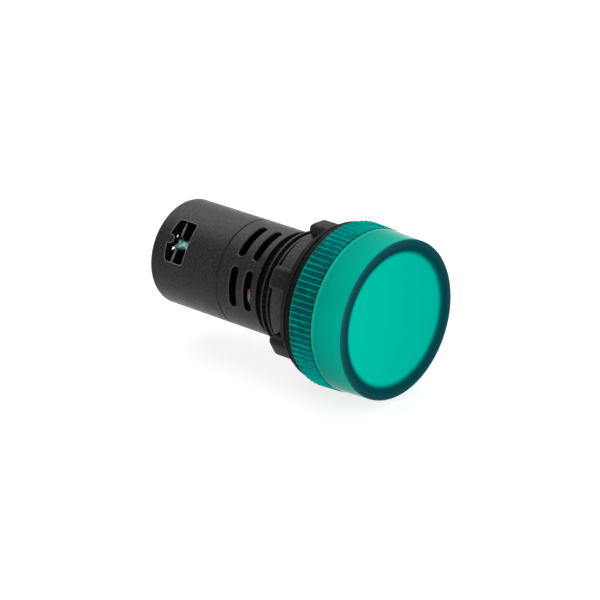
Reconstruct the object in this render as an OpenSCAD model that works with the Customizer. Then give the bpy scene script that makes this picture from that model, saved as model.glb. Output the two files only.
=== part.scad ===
// Panel pilot light, 22 mm class, with a screw-on mounting nut and two screw terminals.
// Y = 0 is the face that meets the panel. The lens points to -Y and the terminals lie at +Y.
// The wire window is turned from the top (+Z) towards -X. All sizes are in millimetres.

/* [Body] */
// outside diameter of the round body behind the thread
body_d = 20.2; // [18:0.1:21.5]
// wall of the round body
wall = 1.4; // [1.2:0.05:1.8]
// distance from the panel face to the rear end
depth = 38.6; // [38:0.1:46]
// distance from the panel face to the seam between the two housings
seam_y = 21.4; // [21:0.1:23]
// bevel on both edges of the seam
seam_bevel = 0.2; // [0.1:0.05:0.4]
// length of the sleeve of the front housing inside the rear housing
sleeve_len = 7.6; // [6:0.1:8.5]
// wall of that sleeve
sleeve_wall = 1.0; // [0.8:0.05:1.3]
// clearance between the sleeve and the rear housing
sleeve_gap = 0.1; // [0.05:0.01:0.2]

// angle from the top to the wire window, towards -X, and with it the boards and terminals
window_turn = 56; // [0:1:359]

/* [Vent slots] */
// width of a vent slot along the body
vent_w = 1.7; // [1:0.1:2.4]
// angle that a vent slot spans around the body
vent_arc = 45; // [20:0.5:54]
// angle from the top of the body to the middle of a vent slot
vent_mid = 28.5; // [28:0.5:40]
// distance from the panel face to the first row of slots
vent_y1 = 14; // [13.2:0.1:14.5]
// distance from the first row of slots to the second
vent_step = 3.6; // [3:0.1:4.5]
// bevel of the slot edges
vent_bevel = 0.2; // [0.1:0.05:0.4]

/* [Threaded neck] */
// diameter over the thread crests
thread_d = 21.9; // [21:0.1:22.2]
// height of the thread ridges
thread_h = 1.45; // [1:0.05:1.5]
// distance from one ridge to the next
thread_pitch = 1.4; // [1:0.05:2]
// width of a ridge at its crest
crest_w = 0.42; // [0.3:0.02:0.5]
// width of a ridge at its root
ridge_w = 0.66; // [0.55:0.02:0.9]
// distance from the panel face to the shoulder of the body
shoulder_y = 11.6; // [11:0.1:12.5]
// distance from the shoulder to the middle of the first ridge
runout = 1.95; // [1.3:0.05:2.2]
// number of ridges
ridges = 7; // [4:1:7]

/* [Collar] */
// outside diameter of the collar under the lens
collar_d = 27.3; // [26:0.1:28]
// length of the collar in front of the gasket
collar_len = 5.4; // [4.5:0.1:6]
// thickness of the collar floor
collar_floor = 1.4; // [1.2:0.1:2]
// wall of the collar
collar_wall = 1.3; // [1:0.1:1.6]
// height of the snap bead around the collar
bead_h = 0.3; // [0.2:0.05:0.35]
// distance from the gasket to the snap bead
bead_at = 1.9; // [1.5:0.1:2.6]

/* [Gasket] */
// outside diameter of the gasket
gasket_d = 30; // [29:0.1:30.6]
// thickness of the gasket
gasket_t = 1.6; // [1.2:0.1:2]
// bevel on the edges of the gasket
gasket_bevel = 0.3; // [0.1:0.05:0.5]
// clearance between the gasket and the thread crests
gasket_gap = 0.1; // [0.05:0.01:0.3]

/* [Mounting nut] */
// outside diameter of the nut ring
nut_d = 23.6; // [23.4:0.1:25]
// length of the nut
nut_len = 6.5; // [5.5:0.1:8]
// clearance between the nut bore and the thread crests
nut_gap = 0.1; // [0.05:0.01:0.2]
// how far the edge of the flange lies inside the edge of the gasket
flange_in = 0.15; // [0.05:0.05:0.4]
// diameter over the lugs
lug_d = 27.8; // [27:0.1:28.2]
// how far the rear edge of the flange stands out past the lugs
lug_step = 0.2; // [0.18:0.01:0.4]
// thickness of the flange
flange_t = 1.95; // [1.2:0.05:2.5]
// number of lugs
lug_n = 6; // [3:1:8]
// width of a lug
lug_w = 4.4; // [3:0.1:5.5]
// radius of the rear corners of a lug
lug_r = 1; // [0.5:0.1:1.4]
// how far a lug ends short of the rear face of the nut
lug_short = 0.35; // [0.3:0.05:1]
// bevel on the outer edges of a lug
lug_bevel = 0.5; // [0.3:0.05:0.7]
// how far the nut is turned
nut_turn = 0; // [0:1:59]
// bevel on the nut edges
nut_bevel = 0.2; // [0.1:0.05:0.25]

/* [Lens] */
// distance from the panel face to the front of the lens
lens_front = 13.6; // [12.5:0.1:15]
// diameter over the ribs at the back edge of the skirt
skirt_d = 31; // [30.6:0.1:32]
// how much less that diameter is at the front of the skirt
skirt_draft = 0.4; // [0.1:0.05:0.6]
// length of the ribbed skirt
skirt_len = 4.85; // [4:0.05:6]
// number of ribs
rib_n = 82; // [40:1:90]
// height of a rib
rib_h = 0.25; // [0.1:0.05:0.3]
// diameter of the smooth drum where it meets the skirt
drum_d = 30.2; // [29.6:0.1:30.4]
// diameter of the drum at its front edge
drum_front_d = 29.66; // [29:0.02:29.8]
// bevel on the front edge of the drum
drum_bevel = 0.35; // [0.1:0.05:0.6]
// width of the rim around the sunk face
rim_w = 2.1; // [1:0.1:3]
// how far the face lies behind the rim
face_sink = 0.1; // [0.1:0.05:0.5]
// thickness of the face
face_t = 1.5; // [1:0.1:2]
// clearance between the lens and the collar
lens_gap = 0.15; // [0.05:0.01:0.3]

/* [Wire window] */
// width of the window
window_w = 8.1; // [7:0.1:9]
// length of the window along the body
window_len = 4.2; // [3.8:0.1:4.8]
// distance from the rear end to the window
window_at = 3.8; // [3.5:0.1:4.5]
// radius of the window corners
window_r = 0.5; // [0.2:0.1:1]
// width of the bevel around the window
window_bevel = 0.55; // [0.3:0.05:0.8]
// width of the tongue between the two notches
tongue_w = 1.6; // [1:0.1:2]
// length of the tongue
tongue_len = 0.9; // [0.5:0.1:1.3]

/* [Rear end] */
// thickness of the rear end wall
end_wall = 1; // [0.8:0.05:1.05]
// bevel on the rear edge
end_bevel = 0.5; // [0.2:0.05:1]
// clearance around a screw head in its access hole
access_gap = 0.2; // [0.1:0.05:0.25]

/* [Terminals] */
// distance of a terminal screw from the middle plane
screw_x = 3.1; // [3.05:0.05:3.3]
// height of a terminal screw above the axis
screw_z = 4.4; // [4.2:0.05:4.5]
// diameter of the screw shank
screw_d = 3; // [2.5:0.1:3]
// diameter of the screw head
head_d = 4.6; // [4.2:0.1:4.8]
// height of the screw head
head_t = 1.3; // [1:0.1:1.3]
// width of the driver slot
slot_w = 0.7; // [0.5:0.05:0.9]
// depth of the driver slot
slot_t = 0.7; // [0.4:0.05:0.8]
// length of the screw shank
shank_len = 6.6; // [6.4:0.1:7]
// clearance of the shank in the terminal plate
shank_gap = 0.05; // [0.03:0.01:0.1]
// clearance of the shank in the clamp washer and in the block
washer_gap = 0.1; // [0.05:0.01:0.2]
// thickness of the clamp washer
washer_t = 0.85; // [0.6:0.05:1]
// width of the clamp washer
washer_w = 4.4; // [4:0.1:4.5]
// height of the clamp washer
washer_h = 5; // [4.6:0.1:5.2]
// corner cut of the clamp washer
washer_cut = 0.7; // [0.5:0.05:1]
// opening between the terminal plate and the clamp washer
clamp_open = 3.75; // [3:0.05:3.9]
// thickness of the terminal plate
plate_t = 0.9; // [0.6:0.05:1.2]
// width of the leg of the terminal plate
leg_w = 3; // [2:0.1:4]
// how far the leg reaches over the driver board
leg_over = 3; // [2:0.1:5]

/* [Terminal block] */
// thickness of the block floor
floor_t = 1.7; // [1.2:0.1:2]
// clearance between the block and the rear housing
block_gap = 0.15; // [0.05:0.01:0.3]
// thickness of the web between the terminals
web_t = 0.9; // [0.8:0.05:1.4]
// radius of the round wire throats in the web head
throat_r = 0.9; // [0.7:0.1:1.2]
// width of the web head
web_head_w = 2.2; // [1.8:0.1:2.6]
// height of the web head under the window
web_head_h = 1.2; // [0.8:0.1:1.3]
// clearance around the legs in the block
leg_gap = 0.15; // [0.05:0.01:0.3]

/* [Driver board] */
// width of the driver board
board_w = 14.4; // [12:0.1:14.6]
// thickness of the driver board
board_t = 1.6; // [1:0.1:1.6]
// height of the top face of the driver board above the axis
board_z = 1.3; // [1:0.05:1.4]
// clearance between the driver board and its rails
rail_gap = 0.05; // [0.02:0.01:0.15]
// width and thickness of a rail
rail_w = 1; // [0.8:0.1:1.3]
// diameter of the dropper resistor
dropper_d = 4.2; // [3.6:0.1:4.4]
// length of the dropper resistor
dropper_len = 6.8; // [6:0.1:7.4]
// distance from the middle plane to the axis of the dropper resistor
dropper_x = 3.6; // [3:0.1:3.8]
// height of the axis of the dropper resistor above the lamp axis
dropper_z = 4.3; // [4:0.1:4.4]
// distance from the panel face to the front of the dropper resistor
dropper_y = 11.4; // [11:0.1:12]
// diameter of a resistor or diode lead
lead_d = 0.6; // [0.5:0.05:0.8]
// diameter of the smoothing capacitor
smooth_d = 5; // [4:0.1:5.2]
// length of the smoothing capacitor
smooth_len = 7; // [5:0.1:8]
// distance from the panel face to the smoothing capacitor
smooth_y = 1.6; // [1:0.1:2]
// diameter of the power diode
diode_d = 2.6; // [2:0.1:3.2]
// length of the power diode
diode_len = 5.2; // [4.5:0.1:6]
// distance from the panel face to the power diode
diode_y = 11.6; // [10.5:0.1:12.5]
// length of the rectifier
rectifier_len = 4.6; // [4:0.1:5]
// width of the rectifier
rectifier_w = 3.8; // [3:0.1:4.2]
// height of the rectifier
rectifier_h = 1.7; // [1.2:0.1:2.2]
// distance from the panel face to the rectifier
rectifier_y = 20.2; // [20:0.1:20.6]

/* [Lamp board] */
// diameter of the lamp board
lamp_board_d = 24.4; // [22:0.1:24.6]
// thickness of the lamp board
lamp_board_t = 1.2; // [0.8:0.1:1.6]
// width of a light-emitting diode
led_w = 3; // [2:0.1:3.5]
// length of a light-emitting diode
led_len = 3.5; // [2.5:0.1:4]
// height of a light-emitting diode
led_h = 1.9; // [0.8:0.1:2.2]
// distance of the outer diodes from the axis
led_ring = 7; // [6:0.1:9]
// pitch of the header pins
pin_pitch = 2.54; // [2:0.02:2.54]
// thickness of a header pin
pin_d = 0.64; // [0.5:0.02:0.7]
// clearance of the pins in the lamp board
pin_gap = 0.1; // [0.05:0.01:0.2]
// width and height of the header block on the driver board
header_h = 2.5; // [2:0.1:3]
// length of the header block
header_len = 2.5; // [2:0.1:2.8]

/* [Hidden] */
$fn = 96;
eps = 0.01;
body_r = body_d / 2;
bore_r = body_r - wall;
crest_r = thread_d / 2;
root_r = crest_r - thread_h;
nut_bore_r = crest_r + nut_gap;
flange_d = gasket_d - 2 * flange_in;
collar_r = collar_d / 2;
cup_r = collar_r - collar_wall;
seat_y = -gasket_t;
collar_y = seat_y - collar_len;
cup_y = seat_y - collar_floor;
bead_y = seat_y - bead_at;
sleeve_r = bore_r - sleeve_gap;
sleeve_in_r = sleeve_r - sleeve_wall;
sleeve_y = seam_y + sleeve_len;
lens_in_r = collar_r + lens_gap;
skirt_y = seat_y - skirt_len;
inner_end_y = depth - end_wall;
window_y1 = depth - window_at;
window_y0 = window_y1 - window_len;
block_y = sleeve_y + floor_t;
plate_y = block_y + plate_t;
washer_y = plate_y + clamp_open;
head_y = washer_y + washer_t;
access_r = head_d / 2 + access_gap;
washer_z = screw_z;
leg_z = board_z;
block_r = bore_r - block_gap;
web_top = sqrt(block_r * block_r - pow(web_head_w / 2, 2)) - 0.1;
board_y0 = cup_y;
board_y1 = sleeve_y;
lamp_y = cup_y - lamp_board_t;
header_y = board_y0;

// ---------- shared shapes ----------

// turns a profile of [radius, y] points about the Y axis
module turned(points) {
    rotate([-90, 0, 0])
        rotate_extrude()
            polygon(points);
}

// cylinder along +Y from y0 to y1 at (x, z)
module rod_y(x, z, y0, y1, r) {
    translate([x, y0, z])
        rotate([-90, 0, 0])
            cylinder(h = y1 - y0, r = r);
}

// box from corner to corner
module block(x0, x1, y0, y1, z0, z1) {
    translate([x0, y0, z0])
        cube([x1 - x0, y1 - y0, z1 - z0]);
}

// turns its children about the axis, from the top towards -X
module about(angle) {
    rotate([0, -angle, 0])
        children();
}

// ---------- lens ----------

// one moulding: ribbed skirt, smooth drum and a face sunk behind a rim
module lens() {
    drum_r = drum_d / 2;
    front_r = drum_front_d / 2;
    face_r = front_r - rim_w;
    face_y = -lens_front + face_sink;
    inner_y = face_y + face_t;
    color([0.1, 0.62, 0.5, 0.8])
        difference() {
            union() {
                turned([
                    [0, face_y], [face_r, face_y], [face_r + face_sink / 3, -lens_front],
                    [front_r - drum_bevel, -lens_front], [front_r, -lens_front + drum_bevel],
                    [drum_r, skirt_y], [0, skirt_y]]);
                lens_skirt();
            }
            turned([
                [0, inner_y], [lens_in_r - 0.6, inner_y], [lens_in_r, inner_y + 0.6],
                [lens_in_r, bead_y - 0.5], [lens_in_r + bead_h, bead_y - 0.5 + bead_h],
                [lens_in_r + bead_h, bead_y + 0.5 - bead_h], [lens_in_r, bead_y + 0.5],
                [lens_in_r, seat_y + 1], [0, seat_y + 1]]);
        }
}

// skirt: a fine-toothed prism trimmed by a slight cone
module lens_skirt() {
    back_r = skirt_d / 2;
    valley_r = back_r - skirt_draft / 2 - rib_h;
    step = 360 / rib_n;
    intersection() {
        rotate([-90, 0, 0])
            translate([0, 0, skirt_y])
                linear_extrude(skirt_len)
                    polygon([for (i = [0 : rib_n - 1], k = [0 : 3])
                        let (a = (i + [0.1, 0.26, 0.46, 0.62][k]) * step,
                            r = k == 1 || k == 2 ? back_r + 0.1 : valley_r)
                        [r * sin(a), r * cos(a)]]);
        turned([
            [0, seat_y], [back_r - 0.12, seat_y], [back_r, seat_y - 0.2],
            [back_r - skirt_draft / 2, skirt_y + 0.12], [back_r - skirt_draft / 2 - 0.12, skirt_y],
            [0, skirt_y]]);
    }
}

// ---------- housings ----------

// one moulding: collar, threaded neck, vented body and inner sleeve
module front_housing() {
    color([0.17, 0.17, 0.18]) about(window_turn)
        difference() {
            union() {
                turned([
                    [0, collar_y], [collar_r - 0.3, collar_y], [collar_r, collar_y + 0.3],
                    [collar_r, bead_y - bead_h], [collar_r + bead_h - 0.05, bead_y],
                    [collar_r, bead_y + bead_h], [collar_r, seat_y], [root_r, seat_y],
                    [root_r, shoulder_y - 0.12], [body_r - 0.1, shoulder_y], [body_r, shoulder_y + 0.1],
                    [body_r, seam_y - seam_bevel], [body_r - seam_bevel, seam_y],
                    [sleeve_r, seam_y], [sleeve_r, sleeve_y], [0, sleeve_y]]);
                for (i = [0 : ridges - 1])
                    thread_ridge(shoulder_y - runout - i * thread_pitch);
            }
            turned([
                [0, collar_y - 1], [cup_r, collar_y - 1], [cup_r, cup_y], [bore_r, cup_y],
                [bore_r, seam_y - 0.6], [sleeve_in_r, seam_y - 0.6 + bore_r - sleeve_in_r],
                [sleeve_in_r, sleeve_y + 1], [0, sleeve_y + 1]]);
            for (row = [0 : 1], side = [-1, 1], end = [0, 180])
                about(end + side * vent_mid)
                    vent_slot(vent_y1 + row * vent_step);
        }
    color([0.17, 0.17, 0.18]) about(window_turn)
        board_rails();
}

// one ridge of the neck thread
module thread_ridge(y) {
    turned([
        [root_r - 0.3, y - ridge_w / 2], [root_r, y - ridge_w / 2], [crest_r, y - crest_w / 2],
        [crest_r, y + crest_w / 2], [root_r, y + ridge_w / 2], [root_r - 0.3, y + ridge_w / 2]]);
}

// cutter for a vent slot with round ends and bevelled edges, at the top of the body
module vent_slot(y) {
    half = vent_arc / 2 - asin(vent_w / 2 / body_r);
    w = vent_w / 2;
    out_r = body_r + 1;
    in_r = bore_r - 1;
    flare = w + vent_bevel + 1;
    translate([0, y, 0])
        rotate([0, -90 - half, 0])
            rotate([-90, 0, 0])
                rotate_extrude(angle = 2 * half)
                    polygon([[in_r, -w], [body_r - vent_bevel, -w], [out_r, -flare],
                        [out_r, flare], [body_r - vent_bevel, w], [in_r, w]]);
    for (side = [-1, 1])
        translate([0, y, 0])
            rotate([0, side * half, 0])
                translate([0, 0, in_r]) {
                    cylinder(h = out_r - in_r, r = w);
                    translate([0, 0, body_r - vent_bevel - in_r])
                        cylinder(h = vent_bevel + 1, r1 = w, r2 = flare);
                }
}

// rails that hold the two long edges of the driver board
module board_rails() {
    low = board_z - board_t - rail_gap;
    high = board_z + rail_gap;
    edge = board_w / 2 - 0.6;
    intersection() {
        union()
            for (side = [-1, 1], z = [high, low - rail_w])
                translate([side > 0 ? edge : -edge - 3, 2, z])
                    cube([3, seam_y - 4, rail_w]);
        rod_y(0, 0, 0, seam_y, bore_r + 0.3);
    }
}

// one moulding: closed end with two driver holes, and a window for the wires
module rear_housing() {
    color([0.17, 0.17, 0.18]) about(window_turn)
        difference() {
            turned([
                [bore_r, seam_y], [body_r - seam_bevel, seam_y], [body_r, seam_y + seam_bevel],
                [body_r, depth - end_bevel], [body_r - end_bevel * 0.3, depth - end_bevel * 0.3],
                [body_r - end_bevel, depth], [0, depth], [0, inner_end_y], [bore_r, inner_end_y]]);
            window_cutter();
            for (side = [-1, 1])
                rod_y(side * screw_x, screw_z, inner_end_y - 1, depth + 1, access_r);
        }
}

// outline of the window without its tongue, grown on every side
module window_outline(grow) {
    r = window_r + grow;
    for (x = [-1, 1], y = [0, 1])
        translate([x * (window_w / 2 + grow - r), y == 0 ? window_y0 - grow + r : window_y1 + grow - r])
            circle(r = r, $fn = 24);
}

// window with two notches towards the rear and a bevelled edge
module window_cutter() {
    low = bore_r - 2.2;
    bevel_z = sqrt(body_r * body_r - pow(window_w / 2, 2)) - 0.25;
    difference() {
        union() {
            translate([0, 0, low])
                linear_extrude(body_r + 1 - low)
                    window_plain();
            hull() {
                translate([0, 0, bevel_z])
                    linear_extrude(eps)
                        window_outline(0);
                translate([0, 0, body_r + 0.1])
                    linear_extrude(eps)
                        window_outline(window_bevel);
            }
        }
        translate([0, window_y1 - tongue_len + tongue_w / 2, low - 1])
            cylinder(h = body_r + 3 - low, r = tongue_w / 2);
        block(-tongue_w / 2, tongue_w / 2, window_y1 - tongue_len + tongue_w / 2, depth,
            low - 1, body_r + 2);
    }
}

// plain outline of the window as crossed bars with round corners
module window_plain() {
    x = window_w / 2;
    translate([-x + window_r, window_y0])
        square([window_w - 2 * window_r, window_len]);
    translate([-x, window_y0 + window_r])
        square([window_w, window_len - 2 * window_r]);
    window_outline(0);
}

// ---------- gasket and nut ----------

module gasket() {
    in_r = crest_r + gasket_gap;
    out_r = gasket_d / 2;
    color([0.2, 0.17, 0.2])
        turned([
            [in_r, seat_y], [out_r - gasket_bevel, seat_y], [out_r, seat_y + gasket_bevel],
            [out_r, -gasket_bevel], [out_r - gasket_bevel, 0], [in_r, 0]]);
}

// ring with a broad flange and lugs to turn it by
module mounting_nut() {
    ring_r = nut_d / 2;
    rear_r = lug_d / 2 + lug_step;
    color([0.24, 0.24, 0.25])
        union() {
            turned([
                [nut_bore_r, 0.15], [nut_bore_r + 0.15, 0], [flange_d / 2 - nut_bevel, 0],
                [flange_d / 2, nut_bevel], [rear_r, flange_t], [ring_r, flange_t],
                [ring_r, nut_len - nut_bevel], [ring_r - nut_bevel, nut_len],
                [nut_bore_r + 0.15, nut_len], [nut_bore_r, nut_len - 0.15]]);
            for (i = [0 : lug_n - 1])
                about(nut_turn + i * 360 / lug_n)
                    nut_lug();
        }
}

// one lug at the top of the nut, with round rear corners and bevelled side edges
module nut_lug() {
    x = lug_w / 2;
    y0 = flange_t / 2;
    y1 = nut_len - lug_short;
    z0 = (nut_bore_r + nut_d / 2) / 2;
    z1 = lug_d / 2;
    b = lug_bevel;
    intersection() {
        translate([0, 0, z0 - 1])
            linear_extrude(z1 - z0 + 2)
                union() {
                    translate([-x, y0 - 1])
                        square([lug_w, y1 - lug_r - y0 + 1]);
                    translate([-x + lug_r, y0 - 1])
                        square([lug_w - 2 * lug_r, y1 - y0 + 1]);
                    for (side = [-1, 1])
                        translate([side * (x - lug_r), y1 - lug_r])
                            circle(r = lug_r, $fn = 12);
                }
        translate([0, y1 + 1, 0])
            rotate([90, 0, 0])
                linear_extrude(y1 + 1 - y0)
                    polygon([[-x - 1, z0], [x + 1, z0], [x + 1, z1 - b - 1], [x - b, z1], [b - x, z1],
                        [-x - 1, z1 - b - 1]]);
        rotate([90, 0, 90])
            translate([0, 0, -x - 2])
                linear_extrude(2 * x + 4)
                    polygon([[y0 - 2, z0 - 2], [y1 + 2, z0 - 2], [y1 + 2, z1 - b - 2], [y1 - b, z1 + eps],
                        [y0 - 2, z1 + eps]]);
    }
}

// ---------- terminals ----------

// pale insulator: round floor, web between the terminals and a waisted head under the window
module terminal_block() {
    head_z = web_top - web_head_h;
    mid_y = (window_y0 + window_y1) / 2 - 0.1;
    color([0.72, 0.86, 0.88, 0.9]) about(window_turn)
        difference() {
            union() {
                rod_y(0, 0, sleeve_y, block_y, block_r);
                intersection() {
                    block(-web_t / 2, web_t / 2, block_y - floor_t / 2, inner_end_y, -block_r,
                        head_z + web_head_h / 2);
                    rod_y(0, 0, sleeve_y, depth, block_r - 0.1);
                }
                block(-web_head_w / 2, web_head_w / 2, block_y - floor_t / 2, window_y1, head_z, web_top);
            }
            for (side = [-1, 1]) {
                translate([side * (web_t / 2 + throat_r + 0.05), mid_y, head_z - 1])
                    cylinder(h = web_head_h + 2, r = throat_r);
                rod_y(side * screw_x, screw_z, sleeve_y - 1, block_y + 1, screw_d / 2 + washer_gap);
                block(side * screw_x - leg_w / 2 - leg_gap, side * screw_x + leg_w / 2 + leg_gap,
                    sleeve_y - 1, block_y + 1, leg_z - leg_gap, leg_z + plate_t + leg_gap);
            }
        }
}

// bent strip with the screw hole, and a leg that is soldered to the driver board
module terminal_plate(side) {
    top = washer_z + washer_h / 2;
    color([0.82, 0.8, 0.72]) about(window_turn)
        difference() {
            union() {
                translate([side * screw_x, block_y, (leg_z + top) / 2])
                    rotate([-90, 0, 0])
                        linear_extrude(plate_t)
                            cut_corner_rect(washer_w, top - leg_z, washer_cut);
                block(side * screw_x - leg_w / 2, side * screw_x + leg_w / 2,
                    board_y1 - leg_over, block_y + plate_t, leg_z, leg_z + plate_t);
            }
            rod_y(side * screw_x, screw_z, block_y - 1, plate_y + 1, screw_d / 2 + shank_gap);
        }
}

// rectangle with cut corners
module cut_corner_rect(w, h, c) {
    x = w / 2;
    y = h / 2;
    polygon([[-x + c, -y], [x - c, -y], [x, -y + c], [x, y - c], [x - c, y], [-x + c, y],
        [-x, y - c], [-x, -y + c]]);
}

module clamp_washer(side) {
    color([0.84, 0.86, 0.9]) about(window_turn)
        difference() {
            translate([side * screw_x, washer_y, washer_z])
                rotate([-90, 0, 0])
                    linear_extrude(washer_t)
                        cut_corner_rect(washer_w, washer_h, washer_cut);
            rod_y(side * screw_x, screw_z, washer_y - 1, head_y + 1, screw_d / 2 + washer_gap);
        }
}

module terminal_screw(side) {
    r = head_d / 2;
    color([0.8, 0.8, 0.8]) about(window_turn)
        translate([side * screw_x, head_y, screw_z])
            difference() {
                union() {
                    turned([[0, 0], [r, 0], [r, head_t * 0.6], [r - head_t * 0.25, head_t], [0, head_t]]);
                    turned([[0, -shank_len], [screw_d / 2 - 0.4, -shank_len],
                        [screw_d / 2, -shank_len + 0.4], [screw_d / 2, eps], [0, eps]]);
                }
                block(-r - 1, r + 1, head_t - slot_t, head_t + 1, -slot_w / 2, slot_w / 2);
                block(-slot_w / 2, slot_w / 2, head_t - slot_t, head_t + 1, -r * 0.6, r * 0.6);
            }
}

// ---------- boards and parts on them ----------

module lamp_board() {
    color([0.9, 0.9, 0.88]) about(window_turn)
        difference() {
            rod_y(0, 0, lamp_y, cup_y, lamp_board_d / 2);
            for (side = [-1, 1])
                rod_y(side * pin_pitch / 2, board_z + header_h / 2, lamp_y - 1, cup_y + 1,
                    pin_d / 2 + pin_gap);
        }
}

// one surface-mounted diode on the lamp board, with a shallow dish
module led(x, z) {
    color([0.95, 0.95, 0.85]) about(window_turn)
        difference() {
            block(x - led_w / 2, x + led_w / 2, lamp_y - led_h, lamp_y, z - led_len / 2, z + led_len / 2);
            rod_y(x, z, lamp_y - led_h - 1, lamp_y - led_h * 0.6, led_w * 0.4);
        }
}

module board_header() {
    z = board_z + header_h / 2;
    color([0.12, 0.12, 0.12]) about(window_turn)
        difference() {
            block(-pin_pitch, pin_pitch, header_y, header_y + header_len, board_z, board_z + header_h);
            for (side = [-1, 1])
                rod_y(side * pin_pitch / 2, z, header_y - 1, header_y + header_len + 1, pin_d / 2);
        }
}

// two bent pins that join the boards
module header_pins() {
    z = board_z + header_h / 2;
    end_y = header_y + header_len + pin_d;
    color([0.85, 0.75, 0.45]) about(window_turn)
        for (side = [-1, 1]) {
            rod_y(side * pin_pitch / 2, z, lamp_y - 0.6, end_y, pin_d / 2);
            translate([side * pin_pitch / 2, end_y - pin_d / 2, board_z])
                cylinder(h = header_h / 2, r = pin_d / 2);
        }
}

module driver_board() {
    x = board_w / 2;
    color([0.1, 0.35, 0.2]) about(window_turn)
        block(-x, x, board_y0, board_y1, board_z - board_t, board_z);
}

// body on its axis along Y, with two leads bent down to the driver board
module axial_part(x, y, z, d, length, waist) {
    r = d / 2;
    y1 = y + length;
    translate([x, y, z])
        turned([[0, 0], [r - 0.25, 0], [r, 0.25], [r, length * 0.22], [r - waist, length * 0.22 + 0.3],
            [r - waist, length * 0.78 - 0.3], [r, length * 0.78], [r, length - 0.25],
            [r - 0.25, length], [0, length]]);
    rod_y(x, z, y - 1, y + 0.2, lead_d / 2);
    rod_y(x, z, y1 - 0.2, y1 + 1, lead_d / 2);
    for (end_y = [y - 1, y1 + 1])
        translate([x, end_y, board_z])
            cylinder(h = z - board_z, r = lead_d / 2);
}

// banded resistor that drops the supply
module dropper_resistor() {
    color([0.62, 0.6, 0.68]) about(window_turn)
        axial_part(-dropper_x, dropper_y, dropper_z, dropper_d, dropper_len, 0.15);
}

module smoothing_capacitor() {
    r = smooth_d / 2;
    x = board_w / 2 - 1.6 - r;
    color([0.13, 0.13, 0.16]) about(window_turn)
        translate([0, smooth_y, 0])
            translate([x, 0, board_z + r])
                turned([[0, 0], [r - 0.3, 0], [r, 0.3], [r, smooth_len - 1.2], [r - 0.25, smooth_len - 0.95],
                    [r, smooth_len - 0.7], [r, smooth_len - 0.3], [r - 0.3, smooth_len], [0, smooth_len]]);
}

module power_diode() {
    r = diode_d / 2;
    color([0.1, 0.1, 0.1]) about(window_turn)
        axial_part(board_w / 2 - 3.2, diode_y, board_z + r + 0.1, diode_d, diode_len, 0.05);
}

module bridge_rectifier() {
    color([0.1, 0.1, 0.1]) about(window_turn)
        difference() {
            block(-rectifier_w / 2, rectifier_w / 2, rectifier_y, rectifier_y + rectifier_len,
                board_z, board_z + rectifier_h);
            rod_y(-rectifier_w / 2, board_z + rectifier_h, rectifier_y - 1,
                rectifier_y + rectifier_len + 1, 0.4);
        }
}

lens();
front_housing();
gasket();
mounting_nut();
rear_housing();
terminal_block();
terminal_plate(-1);  // terminal_plate_left
terminal_plate(1);  // terminal_plate_right
clamp_washer(-1);  // clamp_washer_left
clamp_washer(1);  // clamp_washer_right
terminal_screw(-1);  // terminal_screw_left
terminal_screw(1);  // terminal_screw_right
lamp_board();
led(0, 0);  // led_1
led(0, led_ring);  // led_2
led(0, -led_ring);  // led_3
led(-led_ring, 0);  // led_4
led(led_ring, 0);  // led_5
board_header();
header_pins();
driver_board();
dropper_resistor();
smoothing_capacitor();
power_diode();
bridge_rectifier();
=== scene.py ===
"""Panel pilot light: its finishes, its lens, its cut thread, the light and the camera."""
import math

import bmesh
import bpy
from mathutils import Matrix, Vector


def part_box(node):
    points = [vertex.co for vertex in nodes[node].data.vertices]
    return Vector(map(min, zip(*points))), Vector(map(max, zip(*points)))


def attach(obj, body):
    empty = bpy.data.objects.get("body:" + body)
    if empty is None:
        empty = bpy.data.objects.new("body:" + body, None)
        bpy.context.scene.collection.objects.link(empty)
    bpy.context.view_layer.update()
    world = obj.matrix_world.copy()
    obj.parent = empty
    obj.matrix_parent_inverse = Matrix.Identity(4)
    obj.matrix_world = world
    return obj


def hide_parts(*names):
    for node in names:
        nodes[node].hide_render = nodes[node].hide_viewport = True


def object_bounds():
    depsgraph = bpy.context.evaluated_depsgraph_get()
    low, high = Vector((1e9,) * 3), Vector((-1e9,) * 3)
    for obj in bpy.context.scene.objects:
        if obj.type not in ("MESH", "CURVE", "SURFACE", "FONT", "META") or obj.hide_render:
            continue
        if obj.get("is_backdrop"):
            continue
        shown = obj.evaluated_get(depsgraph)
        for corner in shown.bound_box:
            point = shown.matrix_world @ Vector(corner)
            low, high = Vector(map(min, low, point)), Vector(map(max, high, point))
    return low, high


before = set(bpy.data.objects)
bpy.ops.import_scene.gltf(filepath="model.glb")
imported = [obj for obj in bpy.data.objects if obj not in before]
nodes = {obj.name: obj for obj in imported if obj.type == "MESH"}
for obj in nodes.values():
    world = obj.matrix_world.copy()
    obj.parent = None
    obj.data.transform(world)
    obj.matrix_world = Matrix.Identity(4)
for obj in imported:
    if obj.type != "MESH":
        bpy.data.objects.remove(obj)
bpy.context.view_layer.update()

MM = 0.001
WINDOW_TURN = math.radians(56)  # from the top of the body round to the wire window
DIM, BRIGHT = 0.3, 0.7  # noise has most of its values between these two


# ---------- node trees ----------

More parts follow.
